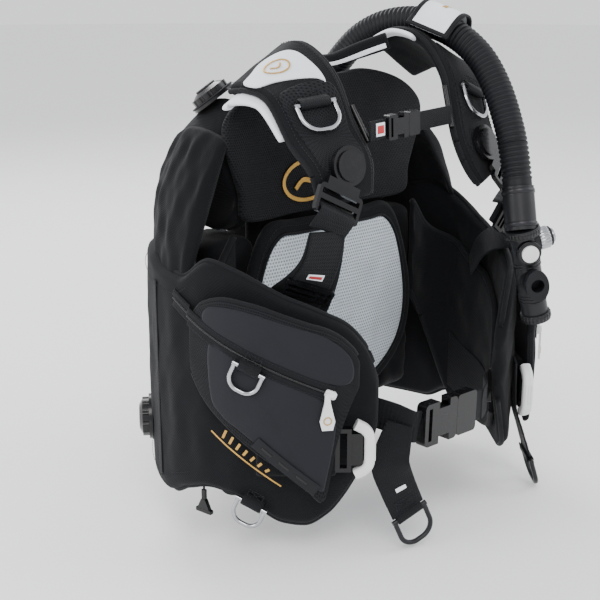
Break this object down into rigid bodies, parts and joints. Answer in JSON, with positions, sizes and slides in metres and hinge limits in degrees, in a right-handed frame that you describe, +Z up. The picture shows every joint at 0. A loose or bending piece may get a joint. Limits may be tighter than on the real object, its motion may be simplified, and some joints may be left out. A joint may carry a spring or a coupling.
{
  "type": "buoyancy compensator vest",
  "caption": "Jacket style buoyancy compensator vest for a scuba cylinder, with padded harness, side lobes, weight pouches, inflator hose and a tank band.",
  "frame": {"origin": "centre of the lower tank band, on the tank's axis", "axes": "+Z up along the tank, -Y the way the wearer faces, +X towards the wearer's left"},
  "size_m": [0.5112, 0.5084, 0.6192],
  "materials": {
    "woven": "woven nylon, matte",
    "panel": "coated smooth cloth",
    "mesh": "white spacer mesh with a black edge",
    "webbing": "ribbed webbing",
    "steel": "polished stainless",
    "steel_black": "black coated",
    "rubber": "moulded, satin",
    "grey_plastic": "satin",
    "white_plastic": "satin",
    "black_plastic": "moulded, slightly glossy"
  },
  "bodies": {
    "vest": {"backpack_plate": "black_plastic", "back_bladder": "woven", "yoke_pad": "woven", "back_pad": "mesh", "neck_collar": "woven", "right_lobe": "woven", "left_lobe": "woven", "right_pocket": "panel", "left_pocket": "panel", "right_lining": "panel", "left_lining": "panel", "right_shoulder_strap": "woven", "left_shoulder_strap": "woven", "right_webbing": "webbing", "left_webbing": "webbing", "swivel_hubs": "black_plastic", "ring_loops": "webbing", "sternum_socket": "black_plastic", "sternum_webbing": "webbing", "sternum_rails": "black_plastic", "waist_socket": "black_plastic", "waist_webbing": "webbing", "right_tail": "webbing", "left_tail": "webbing", "waist_slider": "black_plastic", "webbing_keepers": "black_plastic", "inflator_hose": "rubber", "hose_elbow": "black_plastic", "hose_flap": "woven", "inflator_body": "black_plastic", "inflator_mouthpiece": "rubber", "shoulder_dump_valve": "black_plastic", "rear_dump_valve": "black_plastic", "tank_band": "webbing", "upper_tank_strap": "webbing", "cam_buckle": "black_plastic"},
    "right_swivel": {"right_swivel_buckle": "black_plastic"},
    "left_swivel": {"left_swivel_buckle": "black_plastic"},
    "right_chest_ring": {"right_chest_ring": "steel"},
    "left_chest_ring": {"left_chest_ring": "steel"},
    "right_pocket_ring": {"right_pocket_ring": "steel"},
    "right_hem_ring": {"right_hem_ring": "steel"},
    "left_hem_ring": {"left_hem_ring": "steel"},
    "right_tail_ring": {"right_tail_ring": "steel_black"},
    "left_tail_ring": {"left_tail_ring": "steel_black"},
    "sternum_plug": {"sternum_plug": "black_plastic"},
    "waist_plug": {"waist_plug": "black_plastic"},
    "right_pouch": {"right_weight_pouch": "woven", "right_pouch_handle": "white_plastic"},
    "left_pouch": {"left_weight_pouch": "woven", "left_pouch_handle": "white_plastic"},
    "dump_toggle": {"dump_toggle": "black_plastic"},
    "right_zip": {"right_zip_slider": "white_plastic"},
    "left_zip": {"left_zip_slider": "white_plastic"},
    "inflate_button": {"inflate_button": "grey_plastic"},
    "deflate_button": {"deflate_button": "black_plastic"},
    "cam_lever": {"cam_lever": "black_plastic"},
    "carry_handle": {"carry_handle": "black_plastic"}
  },
  "joints": [
    {"name": "right_swivel", "type": "hinge", "parent": "vest", "child": "right_swivel", "pos_m": [-0.11895, -0.2878, 0.17749], "axis": [-0.1185, -0.9753, 0.1864], "range_deg": [-8, 8]},
    {"name": "left_swivel", "type": "hinge", "parent": "vest", "child": "left_swivel", "pos_m": [0.11306, -0.29434, 0.179], "axis": [0.1319, -0.9175, 0.3753], "range_deg": [-8, 8]},
    {"name": "right_chest_ring", "type": "hinge", "parent": "vest", "child": "right_chest_ring", "pos_m": [-0.11941, -0.24213, 0.24141], "axis": [-0.9638, 0.2431, -0.1093], "range_deg": [0, 100]},
    {"name": "left_chest_ring", "type": "hinge", "parent": "vest", "child": "left_chest_ring", "pos_m": [0.13102, -0.26516, 0.23975], "axis": [-0.9388, -0.0587, 0.3394], "range_deg": [0, 15]},
    {"name": "right_pocket_ring", "type": "hinge", "parent": "vest", "child": "right_pocket_ring", "pos_m": [-0.23774, -0.26167, -0.033], "axis": [-0.501, 0.7639, 0.4067], "range_deg": [0, 100]},
    {"name": "right_hem_ring", "type": "hinge", "parent": "vest", "child": "right_hem_ring", "pos_m": [-0.22036, -0.2439, -0.204], "axis": [-0.4783, 0.7783, 0.4067], "range_deg": [0, 100]},
    {"name": "left_hem_ring", "type": "hinge", "parent": "vest", "child": "left_hem_ring", "pos_m": [0.22625, -0.24752, -0.204], "axis": [-0.4783, -0.7783, -0.4067], "range_deg": [0, 100]},
    {"name": "right_tail_ring", "type": "hinge", "parent": "vest", "child": "right_tail_ring", "pos_m": [-0.06898, -0.35051, -0.22855], "axis": [0.8625, -0.2891, 0.4154], "range_deg": [-40, 40]},
    {"name": "left_tail_ring", "type": "hinge", "parent": "vest", "child": "left_tail_ring", "pos_m": [0.17753, -0.34156, -0.23073], "axis": [0.6183, 0.7784, 0.1085], "range_deg": [-40, 40]},
    {"name": "sternum_release", "type": "slide", "parent": "vest", "child": "sternum_plug", "axis": [0.9988, 0, 0.0499], "range_m": [0, 0.012]},
    {"name": "waist_release", "type": "slide", "parent": "vest", "child": "waist_plug", "axis": [0.9995, 0, -0.03], "range_m": [0, 0.012]},
    {"name": "right_pouch_pull", "type": "slide", "parent": "vest", "child": "right_pouch", "axis": [0.7265, -0.6872, 0], "range_m": [0, 0.1]},
    {"name": "left_pouch_pull", "type": "slide", "parent": "vest", "child": "left_pouch", "axis": [-0.6238, -0.7816, 0], "range_m": [0, 0.1]},
    {"name": "dump_pull", "type": "slide", "parent": "vest", "child": "dump_toggle", "axis": [0, 0, -1], "range_m": [0, 0.012], "stiffness_N_per_m": 120},
    {"name": "right_zip", "type": "slide", "parent": "vest", "child": "right_zip", "axis": [-0.7204, 0.5718, 0.3925], "range_m": [0, 0.03]},
    {"name": "left_zip", "type": "slide", "parent": "vest", "child": "left_zip", "axis": [0.7293, 0.5789, 0.3647], "range_m": [0, 0.03]},
    {"name": "inflate_press", "type": "slide", "parent": "vest", "child": "inflate_button", "axis": [0.5927, 0.8005, 0.0891], "range_m": [0, 0.002], "stiffness_N_per_m": 300},
    {"name": "deflate_press", "type": "slide", "parent": "vest", "child": "deflate_button", "axis": [-0.244, 0.073, 0.967], "range_m": [0, 0.002], "stiffness_N_per_m": 300},
    {"name": "cam_lever", "type": "hinge", "parent": "vest", "child": "cam_lever", "pos_m": [-0.022, 0.0989, 0], "axis": [0, 0, 1], "range_deg": [0, 110]},
    {"name": "carry_handle", "type": "hinge", "parent": "vest", "child": "carry_handle", "pos_m": [0, -0.08, 0.176], "axis": [1, 0, 0], "range_deg": [-75, 10]}
  ]
}
